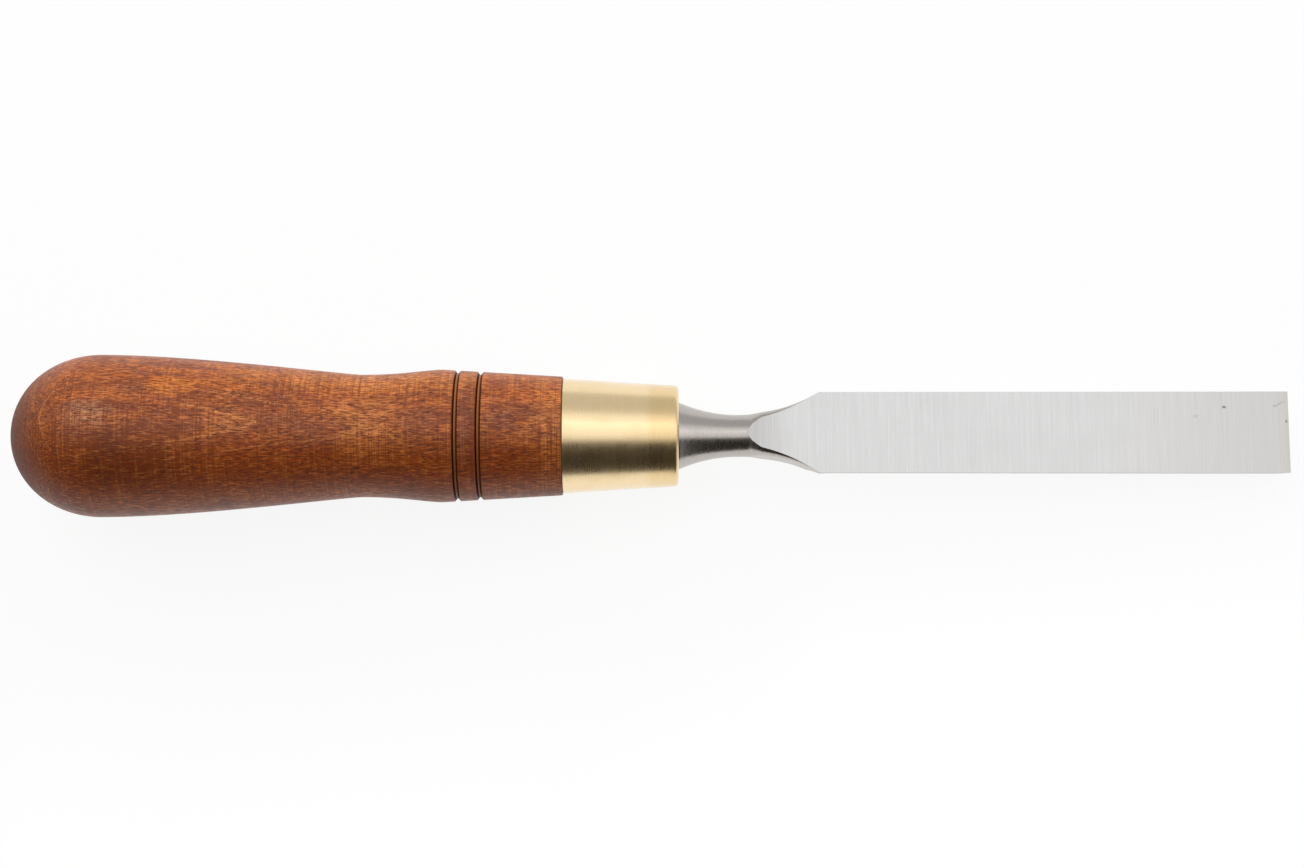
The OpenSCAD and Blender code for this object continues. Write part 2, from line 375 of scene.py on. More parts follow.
@dataclass(frozen=True)
class StainedWood:
    """Oiled hardwood with a red-brown stain: rings, fibres, pores, turning lines, burnt grooves."""

    name: str = "stained_hardwood"
    body: Colour = (0.460, 0.105, 0.0090)
    dark: Colour = (0.190, 0.034, 0.0035)
    light: Colour = (0.620, 0.205, 0.0550)
    gleam: Colour = (1.3, 1.6, 1.8)
    gleam_share: float = 0.42
    orange: Colour = (0.570, 0.145, 0.0100)
    dusk: Colour = (0.210, 0.054, 0.0210)
    fleck: Colour = (0.080, 0.016, 0.0035)
    # End grain at the butt: darker stain, and painted shade where the light falls off.
    end_grain_and_shade: Colour = (0.130, 0.036, 0.0145)
    burnt: Colour = (0.030, 0.006, 0.0015)
    groove_floor: Colour = (0.300, 0.110, 0.0320)
    # Dark line at the joint: burnt wood with the gap's shade painted in.
    joint: Colour = (0.160, 0.062, 0.0200)
    patches: tuple[ToneAndPaintedLightPatch, ...] = (
        # Painted shade: the lower side of the whole handle darker and redder.
        ToneAndPaintedLightPatch((0.240, 0.036, 0.0025), (-75.0, -8.0, 10.0), (250.0, 9.5, 9.5), 0.75),
        ToneAndPaintedLightPatch((0.110, 0.017, 0.0018), (-104.5, -6.5, 12.0), (17.0, 8.0, 8.0), 0.82),
        ToneAndPaintedLightPatch((0.095, 0.015, 0.0018), (-108.5, -6.0, 13.5), (5.0, 8.0, 6.0), 0.65),
        # Painted light: the upper side of the grip lighter, where the light from +Y falls.
        ToneAndPaintedLightPatch((0.640, 0.210, 0.0300), (-62.0, 9.5, 7.0), (45.0, 5.0, 7.0), 0.45),
        # Painted highlight: a pale sheen on top of the bulb.
        ToneAndPaintedLightPatch((0.500, 0.240, 0.1300), (-112.5, 1.8, 15.0), (6.0, 4.0, 4.0), 0.50),
        ToneAndPaintedLightPatch((0.600, 0.185, 0.0300), (-60.0, 1.5, 12.0), (12.0, 7.0, 6.0), 0.40),
        ToneAndPaintedLightPatch((0.210, 0.056, 0.0260), (-49.5, 0.5, 12.5), (7.0, 4.5, 5.0), 0.55),
        ToneAndPaintedLightPatch((0.200, 0.056, 0.0300), (-34.0, 1.0, 12.0), (3.5, 3.2, 4.0), 0.65),
        ToneAndPaintedLightPatch((0.230, 0.058, 0.0230), (-70.0, -1.0, 12.8), (8.0, 4.5, 5.0), 0.45),
        ToneAndPaintedLightPatch((0.660, 0.180, 0.0120), (-98.0, 7.5, 13.0), (7.5, 3.2, 4.0), 0.60),
        ToneAndPaintedLightPatch((0.580, 0.170, 0.0240), (-57.5, -3.5, 11.0), (11.0, 5.0, 6.0), 0.40),
        ToneAndPaintedLightPatch((0.640, 0.200, 0.0400), (-23.5, -1.0, 10.0), (7.0, 16.0, 16.0), 0.40),
        ToneAndPaintedLightPatch((0.165, 0.038, 0.0120), (-40.8, 1.0, 12.5), (2.8, 13.5, 12.0), 0.88),
        ToneAndPaintedLightPatch((0.580, 0.195, 0.0520), (-86.5, 0.3, 14.0), (8.0, 2.7, 4.0), 0.38),
    )
    figure: tuple[ToneAndPaintedLightPatch, ...] = (
        ToneAndPaintedLightPatch((0.620, 0.205, 0.0550), (-88.0, 0.5, 13.5), (18.0, 9.0, 5.0), 0.70),
        ToneAndPaintedLightPatch((0.560, 0.190, 0.0500), (-121.5, 1.5, 12.5), (5.0, 10.0, 6.0), 0.55),
        ToneAndPaintedLightPatch((0.600, 0.200, 0.0500), (-61.0, 0.5, 12.0), (14.0, 6.0, 4.0), 0.30),
    )

    # Growth rings: the pith's place across and in height, the ring's width, and the keel that
    # pulls the rings to a point on the bulb.
    pith: Point = (-2.0, -46.0)
    ring: float = 1.83
    ring_shift: float = 0.16
    wander: Mottle = Mottle((24.0, 8.0, 8.0), detail=1.5)
    wander_depth: float = 0.9
    keel_at: Point = (-92.0, 0.25)
    keel: Ramp = Ramp(30.0, 14.0, 0.0, 0.28)
    pale_rise: Ramp = Ramp(0.0, 0.025)
    pale_fall: Ramp = Ramp(0.17, 0.05)
    pale_share: float = 0.16
    late_run: Ramp = Ramp(0.55, 1.0)
    late_share: float = 0.34

    # Broad tones, from streaks to clouds.
    streaks: Mottle = Mottle((22.0, 1.6, 1.6), (3.0, 1.0, 7.0), 4.0, 0.6, 0.3)
    streaked: Ramp = Ramp(0.34, 0.66)
    blotches: Mottle = Mottle((11.0, 4.5, 4.5), (11.0, 5.0, 2.0), 3.0, 0.55)
    blotched: Ramp = Ramp(0.50, 0.72, 0.0, 0.75)
    clouds: Mottle = Mottle((7.0, 3.2, 3.2), (2.0, 9.0, 4.0), 3.0, 0.6)
    clouded: Ramp = Ramp(0.52, 0.72, 0.0, 0.75)

    # Fibres, pores and the lathe's lines, which are stronger close to the butt.
    fibres: Mottle = Mottle((1.8, 0.29, 0.29), rough=0.6, distort=0.2)
    dark_fibres: Ramp = Ramp(0.50, 0.37, 0.0, 0.92)
    pale_fibres: Ramp = Ramp(0.51, 0.65, 0.0, 0.88)
    pores: Mottle = Mottle((1.3, 0.19, 0.19), (5.0, 0.0, 3.0), 1.0)
    flecked: Ramp = Ramp(0.54, 0.66, 0.0, 0.96)
    turning: Mottle = Mottle((0.30, 26.0, 26.0), rough=0.65)
    dark_lines: Ramp = Ramp(0.50, 0.36)
    pale_lines: Ramp = Ramp(0.54, 0.66)
    pale_line_share: float = 0.5
    worked: Mottle = Mottle((9.0, 6.0, 6.0), (8.0, 3.0, 1.0))
    worked_share: Ramp = Ramp(0.32, 0.66, 0.20, 0.74)
    butt_worked: Ramp = Ramp(18.0, 8.0, 0.0, 0.12)

    # Butt, grooves and the joint with the ferrule.
    butt_x: float = -130.0
    end_run: Ramp = Ramp(11.0, 0.0, 0.0, 0.95)
    end_rough: float = 0.24
    grooves: tuple[float, ...] = (-43.0, -38.6)
    floor_at: float = 0.12
    floor_half: float = 0.34
    walls: tuple[Point, ...] = ((-0.25, 1.0), (0.47, 0.85))
    wall_half: float = 0.23
    band_core: float = 0.45
    joint_run: Ramp = Ramp(-22.65, -22.61)

    # Gloss and relief.
    rough: Ramp = Ramp(0.30, 0.70, 0.48, 0.35)
    char_gloss: Ramp = Ramp(0.0, 0.8, 0.5, 0.04)
    oil_ior: float = 1.40
    fibre_relief: float = 0.6
    turning_relief: float = 0.4
    pore_relief: Ramp = Ramp(0.55, 0.70, 0.0, 0.5)
    relief_depth: float = 0.035
    relief_share: float = 0.7

    def rings(self, board: Board) -> Socket:
        """Growth rings round the pith behind the handle, which come to a point on the bulb.

        Args:
            board: The node tree.

        Returns:
            A number output that climbs from 0 to 1 through each ring.
        """
        place = board.place()
        x, y, z = (board.axis(place, name) for name in "XYZ")
        across, above = board.minus(y, self.pith[0]), board.minus(z, self.pith[1])
        squares = board.plus(board.times(across, across), board.times(above, above))
        wander = board.times(board.noise(self.wander), self.wander_depth)
        distance = board.plus(board.math("SQRT", squares), wander)
        pull = board.ramp(board.off(x, self.keel_at[0]), self.keel)
        keel = board.times(board.off(y, self.keel_at[1]), pull)
        count = board.math("DIVIDE", board.minus(distance, keel), self.ring)
        return board.math("FRACT", board.plus(count, self.ring_shift))

    def seasons(self, board: Board) -> tuple[Socket, Socket]:
        """Pale line at the start of each growth ring and darker wood towards its end.

        Args:
            board: The node tree.

        Returns:
            Two number outputs: the share of pale wood and the share of dark wood.
        """
        rings = self.rings(board)
        pale = board.times(board.ramp(rings, self.pale_rise), board.ramp(rings, self.pale_fall))
        return pale, board.ramp(rings, self.late_run)

    def grain(self, board: Board) -> Socket:
        """Wood colour: broad streaks, patches, some painted light and shade, down to the rings.

        Args:
            board: The node tree.

        Returns:
            A colour output.
        """
        pale, late = self.seasons(board)
        clouds = board.noise(self.clouds)
        colour = board.tint(self.dark, self.body, board.noise(self.streaks), self.streaked)
        colour = board.tint(colour, self.orange, board.noise(self.blotches), self.blotched)
        colour = board.tint(colour, self.dusk, clouds, self.clouded)
        colour = board.blend(board.times(late, self.late_share), colour, self.dusk)
        for patch in self.patches:
            colour = board.blend(patch.cover(board, clouds), colour, patch.colour)
        colour = board.blend(board.times(pale, self.pale_share), colour, self.light)
        for mark in self.figure:
            share = board.times(pale, mark.cover(board, clouds))
            colour = board.blend(share, colour, mark.colour)
        return colour

    def paler(self, board: Board, colour: Socket) -> Socket:
        """Tone of what catches the light, between the wood round it and the light wood."""
        bright = board.blend(1.0, colour, self.gleam, "MULTIPLY")
        return board.blend(self.gleam_share, bright, self.light)

    def lathe_lines(self, board: Board, colour: Socket, turning: Socket, butt: Socket) -> Socket:
        """Dark and pale lines round the handle, stronger where it was worked more.

        Args:
            board: The node tree.
            colour: Colour of the wood.
            turning: Noise of the lathe's lines.
            butt: Distance from the butt.

        Returns:
            The colour with the lines drawn in.
        """
        worked = board.plus(board.noise(self.worked), board.ramp(butt, self.butt_worked))
        share = board.ramp(worked, self.worked_share)
        dark = board.times(board.ramp(turning, self.dark_lines), share)
        colour = board.blend(dark, colour, self.dark)
        share = board.times(share, self.pale_line_share)
        pale = board.times(board.ramp(turning, self.pale_lines), share)
        return board.blend(pale, colour, self.paler(board, colour))

    def band(self, board: Board, along: Socket, at: float, half: float) -> Socket:
        """Share of a soft band round the handle, from its middle and half its width."""
        return board.ramp(board.off(along, at), Ramp(half, half * self.band_core))

    def burns(self, board: Board, colour: Socket, along: Socket) -> tuple[Socket, Socket]:
        """Burnt groove walls, their tan floors and the dark line beside the ferrule.

        Args:
            board: The node tree.
            colour: Colour of the plain wood.
            along: Distance along the axis.

        Returns:
            The colour with the grooves drawn in, and the share of char as a number output.
        """
        char: Value = 0.0
        for at in self.grooves:
            floor = self.band(board, along, at + self.floor_at, self.floor_half)
            colour = board.blend(floor, colour, self.groove_floor)
            for off, share in self.walls:
                wall = board.times(self.band(board, along, at + off, self.wall_half), share)
                char = board.math("MAXIMUM", wall, char)
                colour = board.blend(wall, colour, self.burnt)
        # The joint's dark line is burnt wood with painted shade from the gap.
        return board.tint(colour, self.joint, along, self.joint_run), char

    def material(self) -> bpy.types.Material:
        """Make the wood's material.

        Returns:
            The material.
        """
        material, board = new_material(self.name)
        along = board.along()
        butt = board.minus(along, self.butt_x)
        fibres, pores = board.noise(self.fibres), board.noise(self.pores)
        turning = board.noise(self.turning)
        colour = self.grain(board)
        colour = board.tint(colour, self.dark, fibres, self.dark_fibres)
        colour = board.tint(colour, self.paler(board, colour), fibres, self.pale_fibres)
        colour = board.tint(colour, self.fleck, pores, self.flecked)
        colour = self.lathe_lines(board, colour, turning, butt)
        # The butt's end grain: darker stain and painted shade.
        end_grain_and_shade = board.ramp(butt, self.end_run)
        colour = board.blend(end_grain_and_shade, colour, self.end_grain_and_shade)
        colour, char = self.burns(board, colour, along)

        relief = board.plus(board.times(fibres, self.fibre_relief),
                            board.times(turning, self.turning_relief))
        relief = board.minus(relief, board.ramp(pores, self.pore_relief))
        rough = board.plus(board.ramp(fibres, self.rough), board.times(end_grain_and_shade, self.end_rough))
        board.principled({
            "Base Color": colour,
            "Roughness": rough,
            "IOR": self.oil_ior,
            "Specular IOR Level": board.ramp(char, self.char_gloss),
            "Normal": board.bump(relief, self.relief_depth, self.relief_share),
        })
        return material


@dataclass(frozen=True)
class SatinBrass:
    """Lacquered brass, brushed round its circumference; painted shade darkens its front land."""

    name: str = "brass"
    metal: Colour = (0.965, 0.742, 0.434)
    tarnish_and_shade: Colour = (0.880, 0.645, 0.315)
    lines: Mottle = Mottle((0.22, 14.0, 14.0), detail=3.0, rough=0.7)
    lined: Ramp = Ramp(0.60, 0.35, 0.0, 0.12)
    smudges: Mottle = Mottle((5.2, 2.6, 2.6), detail=3.0, rough=0.6)
    smudged: Ramp = Ramp(0.45, 0.75, 0.0, 0.35)
    specks: Mottle = Mottle((0.35, 0.35, 0.35), (4.0, 9.0, 1.0), 0.0)
    specked: Ramp = Ramp(0.80, 0.86, 0.0, 0.5)
    # Painted shade: the front land tinted darker and warmer for the reflection of its slope.
    land: Ramp = Ramp(-6.6, -5.0, 0.0, 0.85)
    line_rough: Ramp = Ramp(0.3, 0.7, 0.25, 0.30)
    smudge_rough: Ramp = Ramp(0.4, 0.7, 0.0, 0.04)
    lacquer: float = 0.90
    lacquer_rough: float = 0.22
    line_depth: float = 0.0016
    line_strength: float = 0.5

    def material(self) -> bpy.types.Material:
        """Make the brass's material.

        Returns:
            The material.
        """
        material, board = new_material(self.name)
        lines, smudges = board.noise(self.lines), board.noise(self.smudges)
        colour = board.tint(self.metal, self.tarnish_and_shade, smudges, self.smudged)
        colour = board.tint(colour, self.tarnish_and_shade, lines, self.lined)
        colour = board.tint(colour, self.tarnish_and_shade, board.noise(self.specks), self.specked)
        # Painted shade on the front land.
        colour = board.tint(colour, self.tarnish_and_shade, board.along(), self.land)
        smudge_rough = board.ramp(smudges, self.smudge_rough)
        board.principled({
            "Base Color": colour,
            "Metallic": 1.0,
            "Roughness": board.plus(board.ramp(lines, self.line_rough), smudge_rough),
            "Coat Weight": self.lacquer,
            "Coat Roughness": self.lacquer_rough,
            "Normal": board.bump(lines, self.line_depth, self.line_strength),
        })
        return material


@dataclass(frozen=True)
class BladeSteel:
    """Tool steel: ground across the blade on its flats, or rubbed to a satin round the neck."""

    name: str = "blade_steel_ground"
    metal: Colour = (0.590, 0.586, 0.586)
    shade: Colour = (0.490, 0.486, 0.484)
    tip_shade: Colour = (0.520, 0.514, 0.504)
    # Painted shade: the ground steel darker towards the tip.
    honed: Colour = (0.526, 0.508, 0.490)
    burr: Colour = (0.495, 0.488, 0.440)
    stripe: Colour = (0.440, 0.436, 0.432)
    ground: bool = True
    lines: Mottle = Mottle((0.16, 22.0, 22.0), detail=3.0, rough=0.75)
    lined: Ramp = Ramp(0.62, 0.34, 0.0, 0.08)
    line_rough: Ramp = Ramp(0.3, 0.7, 0.35, 0.26)
    line_depth: float = 0.0004
    line_strength: float = 0.5
    bands: Mottle = Mottle((1.6, 60.0, 60.0), (7.0, 2.0, 5.0), rough=0.6)
    banded: Ramp = Ramp(0.58, 0.36, 0.0, 0.04)
    clouds: Mottle = Mottle((9.0, 5.0, 5.0), (1.0, 8.0, 3.0))
    clouded: Ramp = Ramp(0.40, 0.72, 0.0, 0.12)
    stripes: Mottle = Mottle((0.34, 60.0, 60.0), (3.0, 6.0, 1.0), 1.0, 0.6)
    striped: Ramp = Ramp(0.62, 0.36, 0.60, 1.0)
    run_out: Ramp = Ramp(23.0, 14.0)
    tip_shade_run: Ramp = Ramp(75.0, 125.0)
    honed_run: Ramp = Ramp(116.05, 116.35, 0.0, 0.8)
    burr_run: Ramp = Ramp(117.25, 117.55, 0.0, 0.8)
    fray: Mottle = Mottle((0.5, 0.5, 0.5), detail=1.0)
    nicks: tuple[ToneAndPaintedLightPatch, ...] = (
        ToneAndPaintedLightPatch((0.120, 0.117, 0.112), (105.75, 4.90, 4.45), (0.62, 0.34, 0.5), 0.8),
        ToneAndPaintedLightPatch((0.400, 0.394, 0.388), (100.2, 3.15, 4.45), (0.70, 0.45, 0.5), 0.5),
        ToneAndPaintedLightPatch((0.220, 0.216, 0.195), (117.75, 2.1, 4.45), (0.32, 0.40, 0.5), 0.8),
        ToneAndPaintedLightPatch((0.360, 0.352, 0.342), (115.65, 5.15, 4.45), (0.72, 0.30, 0.5), 0.7),
        ToneAndPaintedLightPatch((0.380, 0.372, 0.362), (116.40, 5.52, 4.45), (0.72, 0.30, 0.5), 0.7),
        ToneAndPaintedLightPatch((0.400, 0.392, 0.380), (117.15, 5.90, 4.45), (0.72, 0.30, 0.5), 0.7),
    )

    @classmethod
    def satin(cls) -> "BladeSteel":
        """Steel rubbed to a satin, as round the neck.

        Returns:
            The finish.
        """
        return cls(
            name="blade_steel_satin",
            metal=(0.525, 0.486, 0.454),
            shade=(0.445, 0.411, 0.384),
            ground=False,
            lines=Mottle((0.30, 1.2, 1.2), detail=3.0, rough=0.75),
            lined=Ramp(0.62, 0.34, 0.0, 0.20),
            line_rough=Ramp(0.3, 0.7, 0.315, 0.225),
            line_depth=0.0006,
            banded=Ramp(0.58, 0.36, 0.0, 0.10),
        )

    def wear_and_shade(self, board: Board, colour: Socket) -> Socket:
        """Coarse stripes at the back's run-out, painted shade to the tip, honed edge, small nicks.

        Args:
            board: The node tree.
            colour: Colour of the ground steel.

        Returns:
            The colour with the wear drawn in.
        """
        along = board.along()
        stripes = board.ramp(board.noise(self.stripes), self.striped)
        share = board.times(stripes, board.ramp(along, self.run_out))
        colour = board.blend(share, colour, self.stripe)
        # Painted shade that darkens the ground steel towards the tip.
        colour = board.tint(colour, self.tip_shade, along, self.tip_shade_run)
        colour = board.tint(colour, self.honed, along, self.honed_run)
        colour = board.tint(colour, self.burr, along, self.burr_run)
        fray = board.noise(self.fray)
        for nick in self.nicks:
            colour = board.blend(nick.cover(board, fray), colour, nick.colour)
        return colour

    def material(self) -> bpy.types.Material:
        """Make the steel's material.

        Returns:
            The material.
        """
        material, board = new_material(self.name)
        lines = board.noise(self.lines)
        colour = board.tint(self.metal, self.shade, lines, self.lined)
        colour = board.tint(colour, self.shade, board.noise(self.bands), self.banded)
        colour = board.tint(colour, self.shade, board.noise(self.clouds), self.clouded)
        board.principled({
            "Base Color": self.wear_and_shade(board, colour) if self.ground else colour,
            "Metallic": 1.0,
            "Roughness": board.ramp(lines, self.line_rough),
            "Normal": board.bump(lines, self.line_depth, self.line_strength),
        })
        return material


@dataclass(frozen=True)
class StudioPaper:
    """White paper, which the camera, metal and glass see as white with the tool's shadow."""

    name: str = "studio_paper"
    white: Colour = (0.90, 0.90, 0.90)
    glow: Colour = (1.0, 1.0, 1.0)
    glow_run: Ramp = Ramp(0.0, 1.0, 0.90, 1.0)
    edge_mark: str = "fade"

    def material(self) -> bpy.types.Material:
        """Make the paper's material.

        Returns:
            The material.
        """
        material, board = new_material(self.name)
        paper = board.add("BsdfDiffuse", {"Color": self.white}).outputs["BSDF"]
        glow = board.add("Emission", {"Color": self.glow, "Strength": 1.0}).outputs["Emission"]
        edge = board.add("Attribute", attribute_name=self.edge_mark).outputs["Fac"]
        share = board.times(board.ramp(edge, self.glow_run), board.seen())
        board.surface(board.mixed(share, paper, glow))
        return material


def add_piece(name: str, mesh: bpy.types.Mesh, node: str,
              finishes: list[Finish]) -> bpy.types.Object:
    """Put a finished mesh in the scene in place of a node of the frame.

    Args:
        name: Name of the piece.
        mesh: Its mesh, in metres.
        node: Node of the frame that it stands for.
        finishes: Its finishes, in the order of the mesh's material numbers.

    Returns:
        The object.
    """
    piece = bpy.data.objects.new(name, mesh)
    bpy.context.scene.collection.objects.link(piece)
    for finish in finishes:
        mesh.materials.append(finish.material())
    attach(piece, BODY)
    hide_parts(node)
    return piece


def turn_mesh(name: str, outline: list[Point], around: int, closed: bool) -> bpy.types.Mesh:
    """Turn an outline about the tool's axis.

    Args:
        name: Name of the mesh.
        outline: Points as distance along the axis and radius, with the solid on their right.
        around: Number of steps round the axis.
        closed: Whether the outline runs back to its first point, as round a ring, or ends on
            the axis.

    Returns:
        The mesh, in metres, with normals that follow the outline.
    """
    count = len(outline)
    verts, normals, rings = [], [], []
    for i, (x, r) in enumerate(outline):
        normal = Vector((0.0, 0.0))
        for j in (i - 1, i):
            if closed or 0 <= j < count - 1:
                a, b = Vector(outline[j % count]), Vector(outline[(j + 1) % count])
                normal += Vector((a.y - b.y, b.x - a.x))
        normal.normalize()
        on_axis = r < ON_AXIS
        out = 0.0 if on_axis else normal.y
        ring = []
        for k in range(1 if on_axis else around):
            angle = 2 * math.pi * k / around
            ring.append(len(verts))
            verts.append((x * MM, r * MM * math.cos(angle), r * MM * math.sin(angle)))
            normals.append((normal.x, out * math.cos(angle), out * math.sin(angle)))
        rings.append(ring)
    faces = []
    for i in range(count if closed else count - 1):
        a, b = rings[i], rings[(i + 1) % count]
        for k in range(around):
            m = (k + 1) % around
            if len(a) == 1:
                faces.append((b[m], b[k], a[0]))
            elif len(b) == 1:
                faces.append((a[m], b[0], a[k]))
            else:
                faces.append((a[m], b[m], b[k], a[k]))
    mesh = bpy.data.meshes.new(name)
    mesh.from_pydata(verts, [], faces)
    mesh.polygons.foreach_set("use_smooth", [True] * len(mesh.polygons))
    mesh.normals_split_custom_set_from_vertices(normals)
    mesh.update()
    return mesh


@dataclass
class Handle:
    """Turned wooden handle: round butt, bulb, waist, swell with grooves, taper and tenon."""

    grip_l: float = 107.4
    bulb_d: float = 31.7
    bulb_at: float = 17.6
    butt_power: float = 2.05
    waist_d: float = 23.9
    waist_at: float = 68.5
    swell_d: float = 25.9
    swell_at: float = 84.0
    nose_d: float = 23.2
    nose_chamfer: float = 0.10
    nose_edge_r: float = 0.15
    nose_lead: float = 2.0
    bulb_lead: float = 0.35
    waist_tail: float = 0.07
    waist_lead: float = 0.50
    swell_tail: float = 0.20
    groove_at: tuple[float, ...] = (87.0, 91.4)
    groove_w: float = 1.2
    groove_depth: float = 0.55
    groove_floor: float = 0.30
    groove_edge_r: float = 0.12
    groove_lead: float = 3.0
    front_x: float = -22.6
    tenon: tuple[Point, ...] = ((-22.6, 9.95), (-5.4, 8.85), (-2.4, 8.62), (-1.5, 7.85))
    bore: tuple[Point, ...] = ((-1.5, 5.6), (-66.0, 2.6))
    butt_steps: int = 40
    bulb_steps: int = 72
    waist_steps: int = 36
    around: int = 192

    @property
    def butt_x(self) -> float:
        """Place of the butt on the tool's axis."""
        return self.front_x - self.grip_l

    def on_taper(self, at: float) -> Point:
        """Point of the straight taper at a distance from the butt, as distance and radius."""
        share = (at - self.swell_at) / (self.grip_l - self.swell_at)
        return at, mix(self.swell_d, self.nose_d, share) / 2

    def butt_curve(self) -> list[Point]:
        """Outline of the butt, from the axis to the bulb.

        Returns:
            Points as distance from the butt and radius.
        """
        points = []
        for angle in spread(0, math.pi / 2, self.butt_steps):
            t = 1 - math.cos(angle)
            share = (1 - (1 - t) ** self.butt_power) ** (1 / self.butt_power)
            points.append((self.bulb_at * t, self.bulb_d / 2 * share))
        return points

    def groove_curve(self, at: float) -> list[Point]:
        """Outline of one groove with its lips and floor eased.

        Args:
            at: Distance from the butt to the middle of the groove.

        Returns:
            Points as distance from the butt and radius.
        """
        half, floor = self.groove_w / 2, self.groove_floor / 2
        lead = self.groove_lead * half
        deep = self.on_taper(at)[1] - self.groove_depth
        corners = [self.on_taper(at - lead), self.on_taper(at - half)]
        corners += [(at - floor, deep), (at + floor, deep)]
        corners += [self.on_taper(at + half), self.on_taper(at + lead)]
        points = []
        for before, corner, after in zip(corners, corners[1:], corners[2:]):
            points += round_corner(before, corner, after, self.groove_edge_r)
        return points

    def outline(self) -> list[Point]:
        """Outline of the whole handle, from the butt to the end of the bore, both on the axis.

        Returns:
            Points as distance along the tool's axis and radius.
        """
        bulb = (self.bulb_at, self.bulb_d / 2)
        waist = (self.waist_at, self.waist_d / 2)
        swell = (self.swell_at, self.swell_d / 2)
        points = self.butt_curve()
        points += level_curve(bulb, waist, self.bulb_lead, self.waist_tail, self.bulb_steps)
        points += level_curve(waist, swell, self.waist_lead, self.swell_tail, self.waist_steps)
        for at in self.groove_at:
            points += self.groove_curve(at)
        shoulder = self.on_taper(self.grip_l - self.nose_chamfer)
        rim = (self.grip_l, self.nose_d / 2 - self.nose_chamfer)
        before = self.on_taper(self.grip_l - self.nose_lead)
        points += round_corner(before, shoulder, rim, self.nose_edge_r)
        points.append(rim)
        points = [(self.butt_x + s, r) for s, r in points]
        return points + list(self.tenon) + list(self.bore) + [(self.bore[-1][0], 0.0)]

    def build(self, finish: Finish) -> bpy.types.Object:
        """Make the handle and dress it in the wood's finish."""
        mesh = turn_mesh("handle_mesh", self.outline(), self.around, closed=False)
        return add_piece("turned_handle", mesh, "handle", [finish])


@dataclass
class Ferrule:
    """Drawn brass cup: a tapered wall, a front land with less taper, and a lip turned in."""

    length: float = 22.6
    back_d: float = 22.5
    land_l: float = 5.4
    land_d: float = 20.3
    land_bend_r: float = 8.0
    front_d: float = 19.7
    corner_r: float = 1.0
    rim_chamfer: float = 0.18
    rim_edge_r: Point = (0.12, 0.2)
    inner_edge_r: float = 0.1
    wall: float = 1.2
    lip_t: float = 1.5
    hole_d: float = 13.4
    corner_steps: int = 10
    around: int = 192

    def radius(self, x: float) -> float:
        """Outer radius at a place on the tool's axis.

        Args:
            x: The place.

        Returns:
            The radius.
        """
        if x < -self.land_l:
            share = (x + self.length) / (self.length - self.land_l)
            return mix(self.back_d, self.land_d, share) / 2
        return mix(self.land_d, self.front_d, (x + self.land_l) / self.land_l) / 2

    def outline(self) -> list[Point]:
        """Outline of the wall's section, round the outside and back through the inside.

        Returns:
            Points as distance along the tool's axis and radius.
        """
        back, rim, lip = -self.length, self.rim_chamfer, -self.lip_t
        hole_r, inner = self.hole_d / 2, self.inner_edge_r
        corners = [
            (back, self.radius(back) - self.wall, inner),
            (back, self.radius(back) - rim, self.rim_edge_r[0]),
            (back + rim, self.radius(back + rim), self.rim_edge_r[1]),
            (-self.land_l, self.land_d / 2, self.land_bend_r),
            (0.0, self.front_d / 2, self.corner_r),
            (0.0, hole_r, inner),
            (lip, hole_r, inner),
            (lip, self.radius(lip) - self.wall, inner),
            (-self.land_l, self.land_d / 2 - self.wall, inner),
        ]
        points = []
        for i, (x, r, ease) in enumerate(corners):
            before, after = corners[i - 1][:2], corners[(i + 1) % len(corners)][:2]
            points += round_corner(before, (x, r), after, ease, self.corner_steps)
        return points

    def build(self, finish: Finish) -> bpy.types.Object:
        """Make the ferrule and dress it in the brass's finish."""
        mesh = turn_mesh("ferrule_mesh", self.outline(), self.around, closed=True)
        return add_piece("brass_ferrule", mesh, "ferrule", [finish])


